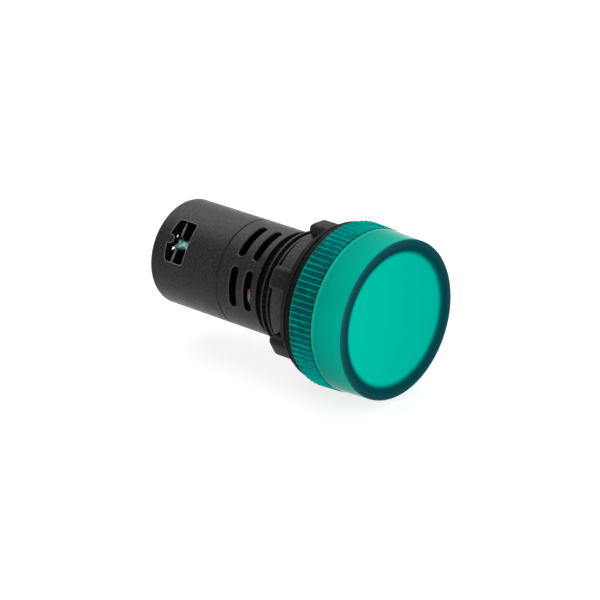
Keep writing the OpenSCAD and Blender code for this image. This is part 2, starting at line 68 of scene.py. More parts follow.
class Nodes:
    """A node tree under construction."""

    def __init__(self, tree):
        self.tree = tree

    def give(self, socket, value):
        """Puts a number, a colour or what another node gives on a socket."""
        if isinstance(value, bpy.types.Node):
            value = value.outputs[0]
        if isinstance(value, bpy.types.NodeSocket):
            self.tree.links.new(value, socket)
        else:
            socket.default_value = (*value, 1) if socket.type == "RGBA" else value

    def node(self, kind, **values):
        """A new node; a key in lower case is its own setting, any other names an input."""
        made = self.tree.nodes.new(kind)
        for key, value in values.items():
            if key.islower():
                setattr(made, key, value)
            else:
                self.give(made.inputs[key.replace("_", " ")], value)
        return made

    def calc(self, how, *values):
        """Arithmetic on numbers and patterns."""
        made = self.node("ShaderNodeMath", operation=how)
        for socket, value in zip(made.inputs, values):
            self.give(socket, value)
        return made


class Finish(Nodes):
    """A material under construction: one Principled shader and the patterns that feed it."""

    def __init__(self, name):
        self.material = bpy.data.materials.new(name)
        self.material.use_nodes = True
        super().__init__(self.material.node_tree)
        self.shader = self.tree.nodes["Principled BSDF"]
        self.place = self.node("ShaderNodeTexCoord").outputs["Object"]

    def set(self, **values):
        """Gives the shader's own sockets their constants and patterns."""
        for key, value in values.items():
            self.give(self.shader.inputs[key.replace("_", " ")], value)

    def grain(self, size_mm, detail=3.0, rough=0.55, place=None):
        """Noise with features of about the given size."""
        noise = self.node("ShaderNodeTexNoise", Scale=1.0 / (size_mm * MM), Detail=detail,
                          Roughness=rough, Vector=place or self.place)
        return noise.outputs["Fac"]

    def steps(self, source, *stops):
        """A colour ramp through (place, colour) stops."""
        ramp = self.node("ShaderNodeValToRGB", Fac=source)
        ramp.color_ramp.interpolation = "EASE"
        points = ramp.color_ramp.elements
        while len(points) < len(stops):
            points.new(0.5)
        for point, (at, colour) in zip(points, stops):
            point.position = at
            point.color = (*colour, 1)
        return ramp.outputs["Color"]

    def clouded(self, source, colour, share):
        """A colour that sinks to a share of itself where the pattern is low."""
        return self.steps(source, (DIM, scaled(colour, share)), (BRIGHT, colour))

    def span(self, source, low, high, to_low=0.0, to_high=1.0, smooth=True):
        """Carries low to high over to to_low to to_high, and holds still beyond them."""
        ease = "SMOOTHSTEP" if smooth else "LINEAR"
        return self.node("ShaderNodeMapRange", interpolation_type=ease, Value=source,
                         From_Min=low, From_Max=high, To_Min=to_low, To_Max=to_high)

    def mix(self, factor, a, b):
        """Colour a where the factor is 0, colour b where it is 1."""
        made = self.node("ShaderNodeMix", data_type="RGBA")
        sockets = [s for s in made.inputs if s.enabled]
        for socket, value in zip(sockets, (factor, a, b)):
            self.give(socket, value)
        return next(s for s in made.outputs if s.enabled)

    def axes(self):
        """The three coordinates of a point of the part."""
        split = self.node("ShaderNodeSeparateXYZ", Vector=self.place)
        return split.outputs

    def roughen(self, source, low, high):
        """Lets the roughness wander between two values with a pattern."""
        self.set(Roughness=self.span(source, DIM, BRIGHT, low, high))

    def relief(self, height, depth_mm, strength):
        """Raises the surface with a pattern."""
        self.set(Normal=self.node("ShaderNodeBump", Strength=strength, Distance=depth_mm * MM,
                                  Height=height))


class Growth(Nodes):
    """A Geometry Nodes tree under construction: named inputs, and the finish it wears."""

    def __init__(self, name, **inputs):
        super().__init__(bpy.data.node_groups.new(name, "GeometryNodeTree"))
        add = self.tree.interface.new_socket
        add("Geometry", in_out="INPUT", socket_type="NodeSocketGeometry")
        add("Geometry", in_out="OUTPUT", socket_type="NodeSocketGeometry")
        for key, kind in (*inputs.items(), ("finish", "Material")):
            label = key.replace("_", " ").capitalize()
            add(label, in_out="INPUT", socket_type="NodeSocket" + kind)
        self.given = self.node("NodeGroupInput").outputs

    def ended(self, geometry):
        """Closes the tree: real geometry, with the finish on it."""
        real = self.node("GeometryNodeRealizeInstances", Geometry=geometry)
        worn = self.node("GeometryNodeSetMaterial", Geometry=real,
                         Material=self.given["Finish"])
        self.node("NodeGroupOutput", Geometry=worn)
        return self.tree


def scaled(colour, share):
    """A colour with each of its parts times a share."""
    return tuple(c * share for c in colour)


def wear_the(finish, *names):
    """Puts a finish on CAD nodes, in the slots they already have."""
    for name in names:
        mesh = nodes[name].data
        if not mesh.materials:
            mesh.materials.append(finish)
        for index in range(len(mesh.materials)):
            mesh.materials[index] = finish


# ---------- shapes ----------

def placed(name, data):
    """A new object in the scene that shows a mesh, a light or a camera."""
    piece = bpy.data.objects.new(name, data)
    bpy.context.collection.objects.link(piece)
    return piece


def drop(piece):
    """Takes a helper piece out of the scene."""
    bpy.data.objects.remove(piece)


def smooth_over(mesh, degrees):
    """Smooth shading, but for the edges that turn by more than an angle."""
    mesh.shade_smooth()
    mesh.set_sharp_from_angle(angle=math.radians(degrees))


def outward_piece(name, build):
    """A piece from a closed bmesh, with its faces turned outwards."""
    mesh = bpy.data.meshes.new(name)
    bmesh.ops.recalc_face_normals(build, faces=build.faces)
    build.to_mesh(mesh)
    build.free()
    return placed(name, mesh)


def turned_shell(name, profile, count):
    """Turns a closed profile about the lamp axis, in a number of equal steps.

    Each point of the profile is (radius, y, zone), and zone is the finish of the face that
    starts there.
    """
    angles = [2 * math.pi * i / count for i in range(count)]
    build = bmesh.new()
    rings = []
    for radius, y, _ in profile:
        spots = [(-radius * math.sin(a), y, radius * math.cos(a)) for a in angles]
        rings.append([build.verts.new(spot) for spot in (spots if radius else [(0, y, 0)])])
    for ring, after, (_, _, zone) in zip(rings, rings[1:] + rings[:1], profile):
        if len(ring) == 1 and len(after) == 1:
            continue
        for i in range(count):
            j = (i + 1) % count
            corners = [ring[i % len(ring)], ring[j % len(ring)],
                       after[j % len(after)], after[i % len(after)]]
            corners = [v for k, v in enumerate(corners) if v not in corners[:k]]
            build.faces.new(corners).material_index = zone
    piece = outward_piece(name, build)
    smooth_over(piece.data, 28)
    return piece


def boxed(name, low, high):
    """A plain box between two corners, for bevelled() to round."""
    build = bmesh.new()
    bmesh.ops.create_cube(build, size=1.0)
    for v in build.verts:
        v.co = Vector(a + (c + 0.5) * (b - a) for a, b, c in zip(low, high, v.co))
    return outward_piece(name, build)


def plain_mesh(piece):
    """The mesh of a piece as its modifiers leave it."""
    shown = piece.evaluated_get(bpy.context.evaluated_depsgraph_get())
    return bpy.data.meshes.new_from_object(shown)


def bevelled(piece, width, segments):
    """Rounds the edges of a piece and keeps the result as a plain mesh."""
    modifier = piece.modifiers.new("round", "BEVEL")
    modifier.width, modifier.segments = width, segments
    modifier.limit_method, modifier.angle_limit = "ANGLE", math.radians(30)
    mesh = plain_mesh(piece)
    piece.modifiers.remove(modifier)
    piece.data = mesh
    smooth_over(mesh, 50)


def grown(name, tree, **values):
    """Runs a node tree with its named inputs and returns the result as a plain mesh piece."""
    seed = placed(name + " seed", bpy.data.meshes.new(name + " seed"))
    modifier = seed.modifiers.new("grow", "NODES")
    modifier.node_group = tree
    for socket in tree.interface.items_tree:
        key = socket.name.replace(" ", "_").lower()
        if socket.in_out == "INPUT" and key in values:
            modifier[socket.identifier] = values[key]
    bpy.context.view_layer.update()
    mesh = plain_mesh(seed)
    seed.modifiers.remove(modifier)
    drop(seed)
    mesh.name = name
    return placed(name, mesh)


def ring_of_copies():
    """Node tree: copies of one item, evenly around the lamp axis."""
    ring = Growth("ring of copies", item="Object", count="Int", first_angle="Float")
    given = ring.given
    share = ring.calc("DIVIDE", ring.node("GeometryNodeInputIndex"), given["Count"])
    turn = ring.calc("ADD", ring.calc("MULTIPLY", share, 2 * math.pi), given["First angle"])
    item = ring.node("GeometryNodeObjectInfo", Object=given["Item"])
    return ring.ended(ring.node(
        "GeometryNodeInstanceOnPoints",
        Points=ring.node("GeometryNodePoints", Count=given["Count"]),
        Instance=item.outputs["Geometry"],
        Rotation=ring.node("ShaderNodeCombineXYZ", Y=ring.calc("MULTIPLY", turn, -1.0))))


def thread_ridge():
    """Node tree: one ridge of a screw thread, wound along the lamp axis."""
    ridge = Growth("wound thread ridge", turns="Float", pitch="Float", root_radius="Float",
                   ridge_height="Float", root_width="Float", crest_width="Float",
                   first_angle="Float", rear_end="Float")
    given = ridge.given
    middle = ridge.calc("ADD", given["Root radius"],
                        ridge.calc("MULTIPLY", given["Ridge height"], 0.5))
    spiral = ridge.node("GeometryNodeCurveSpiral", Resolution=96, Rotations=given["Turns"],
                        Start_Radius=middle, End_Radius=middle,
                        Height=ridge.calc("MULTIPLY", given["Turns"], given["Pitch"]))
    section = ridge.node("GeometryNodeCurvePrimitiveQuadrilateral", mode="TRAPEZOID",
                         Height=given["Ridge height"], Bottom_Width=given["Root width"],
                         Top_Width=given["Crest width"], Offset=0)
    quarter = ridge.node("ShaderNodeCombineXYZ", Z=math.pi / 2)
    solid = ridge.node(
        "GeometryNodeCurveToMesh", Fill_Caps=True,
        Curve=ridge.node("GeometryNodeSetCurveNormal", mode="Z_UP", Curve=spiral),
        Profile_Curve=ridge.node("GeometryNodeTransform", Geometry=section, Rotation=quarter))
    return ridge.ended(ridge.node(
        "GeometryNodeTransform", Geometry=solid,
        Rotation=ridge.node("ShaderNodeCombineXYZ", X=math.pi / 2, Y=given["First angle"]),
        Translation=ridge.node("ShaderNodeCombineXYZ", Y=given["Rear end"])))


def bead_along_edges():
    """Node tree: a round bead along the edges of another piece."""
    bead = Growth("bead along edges", path="Object", thickness="Float")
    path = bead.node("GeometryNodeObjectInfo", Object=bead.given["Path"])
    return bead.ended(bead.node(
        "GeometryNodeCurveToMesh", Fill_Caps=True,
        Curve=bead.node("GeometryNodeMeshToCurve", Mesh=path.outputs["Geometry"]),
        Profile_Curve=bead.node("GeometryNodeCurvePrimitiveCircle", Resolution=8,
                                Radius=bead.given["Thickness"])))


def facing_out(face):
    """How far a face looks away from the lamp axis: 1 is straight out, 0 is along it."""
    centre, normal = face.center, face.normal
    across = max(math.hypot(centre.x, centre.z), 1e-6)
    return (centre.x * normal.x + centre.z * normal.z) / across


def merged_copy(node, name, reshape=None):
    """A copy of a CAD node with its loose triangles joined, to reshape or to finish by face."""
    mesh = nodes[node].data.copy()
    mesh.name = name
    build = bmesh.new()
    build.from_mesh(mesh)
    bmesh.ops.remove_doubles(build, verts=build.verts, dist=2e-7)
    if reshape:
        for v in build.verts:
            reshape(v)
    build.to_mesh(mesh)
    build.free()
    smooth_over(mesh, 30)
    true_round(mesh)
    return placed(name, mesh)


def true_round(mesh):
    """Gives the faces on the turned outside their exact normals.

    Long triangles would otherwise dent the shine.
    """
    straight_out = 0.985
    normals = [tuple(corner.vector) for corner in mesh.corner_normals]
    for face in mesh.polygons:
        if facing_out(face) < straight_out:
            continue
        for loop in face.loop_indices:
            co = mesh.vertices[mesh.loops[loop].vertex_index].co
            r = math.hypot(co.x, co.z)
            normals[loop] = (co.x / r, 0, co.z / r)
    mesh.normals_split_custom_set(normals)


def finish_faces(piece, finishes, choose):
    """Gives each face one of several finishes."""
    mesh = piece.data
    mesh.materials.clear()
    for finish in finishes:
        mesh.materials.append(finish)
    for face in mesh.polygons:
        face.material_index = choose(face)


def lip_along(body, name, y_low, y_high, thick, finish):
    """A fine lip along the edges where openings cut the turned outside of a body; on the window
    it wears a lighter finish as a painted highlight.
    """
    outside = 0.97  # faces that look out further than this are the turned outside
    mesh = body.data
    sides = {}
    for face in mesh.polygons:
        for key in face.edge_keys:
            sides.setdefault(key, []).append(facing_out(face) > outside)
    rims = [key for key, outer in sides.items() if sorted(outer) == [False, True]
            and all(y_low < mesh.vertices[v].co.y < y_high for v in key)]
    used = sorted({v for key in rims for v in key})
    spot = {v: i for i, v in enumerate(used)}
    line = bpy.data.meshes.new(name)
    line.from_pydata([mesh.vertices[v].co for v in used],
                     [(spot[a], spot[b]) for a, b in rims], [])
    path = placed(name + " path", line)
    lip = grown(name, bead_along_edges(), path=path, thickness=thick, finish=finish)
    drop(path)
    smooth_over(lip.data, 60)
    return lip


# ---------- finishes ----------

def black_moulding(name, tone, gloss, shine, bloom, grain_mm=0.16, relief_mm=0.012):
    """Glass-filled black polyamide from a spark-eroded mould: fine even grain, light dust."""
    f = Finish(name)
    base = f.steps(f.grain(3.4, 2.0), (DIM, scaled(tone, 0.86)), (BRIGHT, scaled(tone, 1.12)))
    dust = tuple(c * 3.0 + 0.017 for c in tone)
    speck = f.span(f.grain(grain_mm * 1.1, 2.0), 0.44, 0.78)
    f.set(Base_Color=f.mix(speck, base, dust), Specular_IOR_Level=shine,
          Sheen_Weight=bloom, Sheen_Roughness=0.35)
    f.roughen(f.grain(1.2, 3.0), gloss - 0.04, gloss + 0.06)
    f.relief(f.grain(grain_mm, 3.0, 0.6), relief_mm, 0.7)
    return f.material


def painted_shade_inside(name):
    """Polished core side of a black moulding, painted near black as shade where it lies out of
    the light.
    """
    f = Finish(name)
    tone = f.steps(f.grain(0.8, 3.0), (0.3, (0.001, 0.001, 0.0012)),
                   (0.75, (0.0025, 0.0022, 0.0028)))
    f.set(Base_Color=tone, Roughness=0.7, Specular_IOR_Level=0.05)
    f.relief(f.grain(0.3, 2.0), 0.006, 0.4)
    return f.material


def rubber(name):
    """Moulded seal rubber with a faint bloom."""
    f = Finish(name)
    bloom = f.grain(1.6, 4.0)
    tone = f.steps(bloom, (0.35, (0.0016, 0.0012, 0.0018)), (0.75, (0.0035, 0.003, 0.004)))
    f.set(Base_Color=tone, Specular_IOR_Level=0.07)
    f.roughen(bloom, 0.5, 0.68)
    f.relief(f.grain(0.25, 2.0), 0.01, 0.5)
    return f.material


def plated(name, colour, gloss):
    """Plated metal, with drawn streaks and a slightly uneven shine."""
    f = Finish(name)
    drawn = f.node("ShaderNodeMapping", Vector=f.place, Scale=(1.0, 0.12, 1.0))
    streak = f.grain(0.35, 4.0, 0.6, drawn)
    f.set(Base_Color=f.clouded(streak, colour, 0.82), Metallic=1.0)
    f.roughen(streak, gloss - 0.06, gloss + 0.08)
    f.relief(streak, 0.004, 0.5)
    return f.material


def screw_plating(name, colour, shank_shade, head_y):
    """Zinc on the head; down the shank a dull, near-black colour, painted shade."""
    f = Finish(name)
    _, y, _ = f.axes()
    streak = f.grain(0.3, 3.0)
    on_head = f.span(y, head_y - 0.1 * MM, head_y + 0.1 * MM)
    f.set(Base_Color=f.mix(on_head, shank_shade, f.clouded(streak, colour, 0.8)), Metallic=1.0)
    f.roughen(streak, 0.14, 0.26)
    f.relief(streak, 0.003, 0.3)
    return f.material


def web_plastic(name, dark, pale):
    """The terminal block: painted shade beside the terminals, pale along the web between them.
    """
    f = Finish(name)
    x, _, z = f.axes()
    web_middle, web_half, web_reach = -0.35 * MM, 0.35 * MM, 1.05 * MM
    side = f.calc("ADD", f.calc("MULTIPLY", x, math.cos(WINDOW_TURN)),
                  f.calc("MULTIPLY", z, math.sin(WINDOW_TURN)))
    off = f.calc("ABSOLUTE", f.calc("SUBTRACT", side, web_middle))
    cloud = f.mix(f.span(f.grain(0.7, 3.0), 0.35, 0.65), scaled(pale, 0.45), pale)
    # the dark colour away from the web is painted shade
    f.set(Base_Color=f.mix(f.span(off, web_half, web_reach), cloud, dark),
          Roughness=0.25, Specular_IOR_Level=0.3)
    f.relief(f.grain(0.5, 2.0), 0.01, 0.4)
    return f.material


def laminate(name, colour, weave_mm=0.42):
    """Glass-cloth board under its solder mask."""
    f = Finish(name)
    x, y, z = f.axes()
    turn = 2 * math.pi / (weave_mm * MM)
    warp, weft = (f.calc("SINE", f.calc("MULTIPLY", across, turn))
                  for across in (f.calc("ADD", x, z), f.calc("SUBTRACT", y, x)))
    f.set(Base_Color=f.clouded(f.grain(2.0), colour, 0.88), Roughness=0.34,
          Coat_Weight=0.3, Coat_Roughness=0.2)
    f.relief(f.calc("ADD", warp, weft), 0.004, 0.4)
    return f.material


def moulded(name, colour, roughness):
    """Fine moulded plastic of the small parts inside."""
    f = Finish(name)
    f.set(Base_Color=f.clouded(f.grain(1.5, 2.0), colour, 0.9))
    f.roughen(f.grain(0.6, 2.0), roughness - 0.05, roughness + 0.05)
    f.relief(f.grain(0.12, 2.0), 0.004, 0.4)
    return f.material


def dipped(name, colour, roughness):
    """Dipped or sleeved component body: glossy skin, faint orange peel."""
    f = Finish(name)
    f.set(Base_Color=f.clouded(f.grain(1.1, 2.0), colour, 0.8), Roughness=roughness,
          Coat_Weight=0.5, Coat_Roughness=0.08)
    f.relief(f.grain(0.7, 1.0), 0.02, 0.3)
    return f.material


def banded_lacquer(name, start, end, ground, band, tint, roughness=0.3):
    """Lacquered body with one colour ring; the band is (place along the body, half width)."""
    f = Finish(name)
    _, y, _ = f.axes()
    at, half = band
    along = f.span(y, start, end, smooth=False)
    off = f.calc("ABSOLUTE", f.calc("SUBTRACT", along, at))
    f.set(Base_Color=f.mix(f.span(off, half, half + 0.012, 1.0, 0.0),
                           f.clouded(f.grain(1.4, 2.0), ground, 0.86), tint),
          Roughness=roughness, Coat_Weight=0.3)
    f.relief(f.grain(0.5, 1.0), 0.01, 0.3)
    return f.material


def frosted_drum(name, start, end, radius):
    """Green polycarbonate with a finely frosted side; painted shade darkens it towards the
    bottom, and painted highlight and shade run in bands along it.
    """
    f = Finish(name)
    _, y, z = f.axes()
    # along the drum: a painted highlight by its rear edge, a painted shade dip behind it,
    # lighter again towards the front
    tone = f.steps(f.span(y, start, end, smooth=False),
                   (0.0, (0.0, 0.36, 0.26)), (0.07, (0.0, 0.37, 0.265)),
                   (0.15, (0.0, 0.265, 0.2)), (0.3, (0.0, 0.3, 0.22)),
                   (0.6, (0.0, 0.325, 0.235)), (0.85, (0.0, 0.355, 0.26)),
                   (1.0, (0.0, 0.34, 0.25)))
    cloud = f.span(f.grain(9.0, 1.0), DIM, BRIGHT, 0.0, 0.3)
    # painted shade: darker towards the bottom
    low = f.span(z, -radius, 0.3 * radius, 0.5, 0.0)
    clouded = f.mix(cloud, tone, (0.0, 0.26, 0.195))
    f.set(Base_Color=f.mix(low, clouded, (0.0, 0.15, 0.125)), Specular_IOR_Level=0.0,
          Sheen_Weight=1.0, Sheen_Roughness=0.25, Sheen_Tint=(1.0, 1.0, 1.0))
    f.roughen(f.grain(0.5, 2.0), 0.36, 0.44)
    f.relief(f.grain(0.09, 2.0), 0.004, 0.35)
    return f.material


def lit_face(name, face_r, rim_r):
    """The bright face seen through the front wall, with the thick dark rim round it; painted
    shade darkens the face towards one side and a painted highlight lightens the rim's outer
    corner.
    """
    f = Finish(name)
    x, _, z = f.axes()
    r = f.calc("SQRT", f.calc("ADD", f.calc("MULTIPLY", x, x), f.calc("MULTIPLY", z, z)))
    start = face_r - 0.9 * MM

    def at(mm):
        """The place on the rim's ramp that lies so far outside the face."""
        return (face_r + mm * MM - start) / (rim_r - start)

    # the rim's last stop, at its outer corner, is a painted highlight
    rim = f.steps(f.span(r, start, rim_r, smooth=False),
                  (at(-0.2), (0.0, 0.12, 0.12)), (at(0.25), (0.0, 0.06, 0.068)),
                  (at(0.9), (0.001, 0.045, 0.053)), (at(1.7), (0.006, 0.055, 0.064)),
                  (at(2.1), (0.008, 0.06, 0.066)), (1.0, (0.006, 0.12, 0.11)))
    # painted shade: the face darker towards its +x side
    face = f.mix(f.span(x, -face_r, face_r, smooth=False),
                 (0.0, 0.455, 0.335), (0.0, 0.375, 0.285))
    on_rim = f.span(r, face_r - 0.75 * MM, face_r + 0.35 * MM)
    f.set(Base_Color=f.mix(on_rim, face, rim), Roughness=0.3, Specular_IOR_Level=0.0)
    f.relief(f.grain(0.12, 2.0), 0.002, 0.3)
    return f.material


def clear_skirt(name, deep, pale, veil):
    """Polished green skirt over the black collar, with thick plastic's veil of green."""
    f = Finish(name)
    shade = f.mix(f.span(f.grain(2.6, 2.0), 0.35, 0.65), deep, pale)
    fleck = f.span(f.grain(0.16, 2.0), 0.5, 0.7, 0.0, 0.5)
    f.set(Base_Color=f.mix(fleck, shade, pale), Roughness=0.2, Specular_IOR_Level=0.0,
          Sheen_Weight=veil, Sheen_Roughness=0.5, Sheen_Tint=(0.0, 0.9, 0.8))
    f.relief(f.grain(0.4, 2.0), 0.01, 0.3)
    return f.material


SCREW_HEAD_Y = 36.15 * MM
RESISTOR_START, RESISTOR_END = 11.1 * MM, 17.9 * MM
DIODE_START, DIODE_END = 11.3 * MM, 17.1 * MM

body_black = black_moulding("housing black moulding", (0.0066, 0.0048, 0.0066),
                            0.36, 0.14, 0.06, 0.24, 0.036)
nut_black = black_moulding("nut black moulding", (0.006, 0.0048, 0.006),
                           0.42, 0.16, 0.06, 0.22, 0.03)
# flange and lugs wear darker copies of the nut's moulding: painted shade
flange_painted_shade = black_moulding("nut flange black moulding", (0.0028, 0.0025, 0.003),
                              0.5, 0.02, 0.0, 0.13)
lug_painted_shade = black_moulding("nut lug black moulding", (0.0045, 0.004, 0.0048),
                           0.42, 0.08, 0.04, 0.13)
lilac_lacquer = banded_lacquer("lilac lacquer with a red band", RESISTOR_START, RESISTOR_END,
                               (0.62, 0.6, 0.78), (0.925, 0.06), (0.95, 0.09, 0.02))

wear_the(rubber("seal rubber"), "gasket")
wear_the(web_plastic("terminal block moulding", (0.006, 0.012, 0.018), (0.3, 0.6, 0.58)),
         "terminal_block")
# nickel darkened far below its own colour: painted shade inside the window
wear_the(plated("nickel terminal plate", (0.05, 0.06, 0.09), 0.3),
         "terminal_plate_left", "terminal_plate_right")
wear_the(plated("nickel clamp washer", (0.16, 0.19, 0.25), 0.45),
         "clamp_washer_left", "clamp_washer_right")
# the second colour, near black, is painted shade on the shanks
wear_the(screw_plating("zinc screw", (0.55, 0.58, 0.62), (0.012, 0.014, 0.03), SCREW_HEAD_Y),
         "terminal_screw_left", "terminal_screw_right")
wear_the(laminate("white lamp board", (0.7, 0.7, 0.66)), "lamp_board")
# the board's green is darkened almost to black: painted shade inside the body
wear_the(laminate("green driver board", (0.004, 0.02, 0.01)), "driver_board")
wear_the(moulded("diode body", (0.75, 0.76, 0.7), 0.3),
         *[n for n in nodes if n.startswith("led_")])
wear_the(moulded("black header", (0.018, 0.018, 0.02), 0.4), "board_header")
wear_the(plated("gold pin", (0.85, 0.6, 0.22), 0.2), "header_pins")
wear_the(dipped("dark sleeve", (0.02, 0.022, 0.03), 0.3), "smoothing_capacitor")
wear_the(banded_lacquer("black diode with a pale band", DIODE_START, DIODE_END,
                        (0.012, 0.012, 0.012), (0.74, 0.05), (0.3, 0.3, 0.3), 0.4),
         "power_diode")
wear_the(moulded("rectifier black", (0.02, 0.02, 0.021), 0.45), "bridge_rectifier")


# ---------- lens ----------

DRUM_R, RIM_R, FACE_R, FACE_SINK = 15.1 * MM, 14.83 * MM, 12.45 * MM, 0.7 * MM
VALLEY_R, BEAD_R, SKIRT_LEN, RIB_COUNT = 15.2 * MM, 15.36 * MM, 4.85 * MM, 82
DRUM, FACE, SKIRT, BEAD = range(4)  # the lens's finishes, in the order that it wears them

lens_low, lens_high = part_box("lens")
front, seat, skirt_r = lens_low[1], lens_high[1], lens_high[0]
skirt_front = seat - SKIRT_LEN


def lens_profile():
    """From the middle of the face out, back along drum and skirt, and in again behind."""
    floor_y, soft = front + FACE_SINK, 0.35 * MM
    wall_r, wall_y, corner = 13.8 * MM, front + 2.0 * MM, 0.6 * MM
    dish = [(0, floor_y), (4 * MM, floor_y), (9 * MM, floor_y), (FACE_R - 0.3 * MM, floor_y),
            (FACE_R - 0.05 * MM, floor_y - 0.05 * MM), (FACE_R + 0.15 * MM, floor_y - 0.18 * MM),
            (FACE_R + 0.75 * MM, front + 0.14 * MM), (FACE_R + 1.0 * MM, front + 0.03 * MM),
            (FACE_R + 1.3 * MM, front)]
    edge = [(RIM_R - soft + soft * math.sin(t), front + soft - soft * math.cos(t))
            for t in (math.pi / 2 * k / 6 for k in range(6))]
    drum = [(RIM_R, front + soft), (DRUM_R - 0.01 * MM, skirt_front - 0.75 * MM),
            (DRUM_R + 0.03 * MM, skirt_front - 0.5 * MM), (DRUM_R, skirt_front - 0.24 * MM)]
    groove = [(DRUM_R - 0.14 * MM, skirt_front - 0.08 * MM),
              (DRUM_R - 0.14 * MM, skirt_front + 0.04 * MM),
              (VALLEY_R - 0.06 * MM, skirt_front + 0.14 * MM)]
    bead = [(VALLEY_R, seat - 0.26 * MM), (BEAD_R - 0.03 * MM, seat - 0.2 * MM),
            (BEAD_R, seat - 0.1 * MM)]
    heel = [(BEAD_R - 0.08 * MM, seat - 0.01 * MM)]
    inside = [(wall_r, seat), (wall_r, wall_y + corner), (wall_r - corner, wall_y), (0, wall_y)]
    stretches = ((FACE, dish + edge), (DRUM, drum), (SKIRT, groove), (BEAD, bead),
                 (SKIRT, heel), (DRUM, inside))
    return [(*point, zone) for zone, points in stretches for point in points]


lens = turned_shell("lens_shell", lens_profile(), 328)
for finish in (frosted_drum("frosted green drum", skirt_front, front, DRUM_R),
               lit_face("lit green face", FACE_R, RIM_R),
               clear_skirt("clear green skirt", (0.0, 0.022, 0.026), (0.0, 0.045, 0.047), 1.0),
               clear_skirt("green bead", (0.0, 0.12, 0.105), (0.0, 0.2, 0.17), 0.5)):
    lens.data.materials.append(finish)
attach(lens, "lamp")
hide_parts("lens")


def skirt_rib():
    """One rib of the skirt: a slim tapered bar, highest at the back edge."""
    half, crest, shoulder, base = 0.13 * MM, 0.05 * MM, 0.03 * MM, VALLEY_R - 0.15 * MM
    fore_r = skirt_r - 0.2 * MM
    tops = ((seat - 0.02 * MM, skirt_r - 0.1 * MM), (seat - 0.18 * MM, skirt_r),
            (skirt_front + 0.16 * MM, fore_r), (skirt_front + 0.02 * MM, fore_r - 0.14 * MM))
    build = bmesh.new()
    rows = []
    for y, top in tops:
        outline = ((-half, base), (-crest, top - shoulder), (0, top), (crest, top - shoulder),
                   (half, base))
        rows.append([build.verts.new((x, y, z)) for x, z in outline])
    for row, after in zip(rows, rows[1:]):
        for k in range(len(row)):
            j = (k + 1) % len(row)
            build.faces.new([row[k], row[j], after[j], after[k]])
    build.faces.new(rows[0])
    build.faces.new(rows[-1][::-1])
    rib = outward_piece("skirt rib", build)
    smooth_over(rib.data, 50)
    return rib


ring_tree = ring_of_copies()
rib = skirt_rib()
# the ribs wear a far lighter green than the skirt: a painted highlight where light catches them
ribs = grown("lens_ribs", ring_tree, item=rib, count=RIB_COUNT, first_angle=0.0,
             finish=clear_skirt("green rib crest", (0.0, 0.21, 0.18), (0.0, 0.36, 0.3), 0.3))
drop(rib)
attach(ribs, "lamp")


# ---------- mounting nut ----------

NUT_BORE, NUT_R, NUT_LEN = 11.05 * MM, 11.8 * MM, 6.5 * MM
LUG_R, LUG_W, LUG_COUNT, FLANGE_T = 13.9 * MM, 4.4 * MM, 6, 1.95 * MM
# the flange's finish is a darker copy of the ring's, painted shade
RING, FLANGE = 0, 1  # the nut's finishes
flange_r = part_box("mounting_nut")[1][0]


def nut_profile():
    """From the bore's mouth out over the flange, down to the ring, and in at its rear end."""
    mouth = [(NUT_BORE, 0.15 * MM), (NUT_BORE + 0.15 * MM, 0)]
    flange = [(flange_r - 0.3 * MM, 0), (flange_r - 0.08 * MM, 0.08 * MM),
              (flange_r, 0.25 * MM), (LUG_R + 0.26 * MM, FLANGE_T - 0.3 * MM)]
    ring = [(LUG_R + 0.15 * MM, FLANGE_T - 0.1 * MM), (LUG_R - 0.05 * MM, FLANGE_T),
            (NUT_R + 0.35 * MM, FLANGE_T + 0.05 * MM), (NUT_R + 0.1 * MM, FLANGE_T + 0.2 * MM),
            (NUT_R, FLANGE_T + 0.5 * MM), (NUT_R, NUT_LEN - 0.3 * MM),
            (NUT_R - 0.09 * MM, NUT_LEN - 0.09 * MM), (NUT_R - 0.3 * MM, NUT_LEN),
            (NUT_BORE + 0.15 * MM, NUT_LEN), (NUT_BORE, NUT_LEN - 0.15 * MM)]
    stretches = ((RING, mouth), (FLANGE, flange), (RING, ring))
    return [(*point, zone) for zone, points in stretches for point in points]


def rounded_lug():
    """A lug with soft corners, from inside the ring out; its foot runs into the flange."""
    lug = boxed("lug", (-LUG_W / 2, 0.9 * MM, NUT_BORE + 0.5 * MM),
                (LUG_W / 2, NUT_LEN - 0.35 * MM, LUG_R + 0.12 * MM))
    bevelled(lug, 1.05 * MM, 6)
    return lug


nut_ring = turned_shell("nut_ring", nut_profile(), 192)
nut_ring.data.materials.append(nut_black)
nut_ring.data.materials.append(flange_painted_shade)
lug = rounded_lug()
nut_lugs = grown("nut_lugs", ring_tree, item=lug, count=LUG_COUNT, first_angle=0.0,
                 finish=lug_painted_shade)
drop(lug)
for piece in (nut_ring, nut_lugs):
    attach(piece, "nut")
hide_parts("mounting_nut")


# ---------- housings and thread ----------

ROOT_R, NECK_SKIN_R, NECK_END, REAR_WALL = 9.5 * MM, 10.0 * MM, 11.5 * MM, 38 * MM
SLOTS_START, SLOTS_END = 12.8 * MM, 18.8 * MM
SLOT_EDGE_LOW, SLOT_EDGE_HIGH = 9.72 * MM, 10.09 * MM  # radii that the slots' bevels lie between
WINDOW_START, WINDOW_END = 28.5 * MM, 37.45 * MM
CORE_R, SKIN_R = 9.45 * MM, 9.98 * MM
# CORE is near-black painted shade on the inner faces and in the thread's root
# SLOT_EDGE is a lighter painted highlight on the slots' bevels
OUTSIDE, CORE, SLOT_EDGE = range(3)  # the housings' finishes


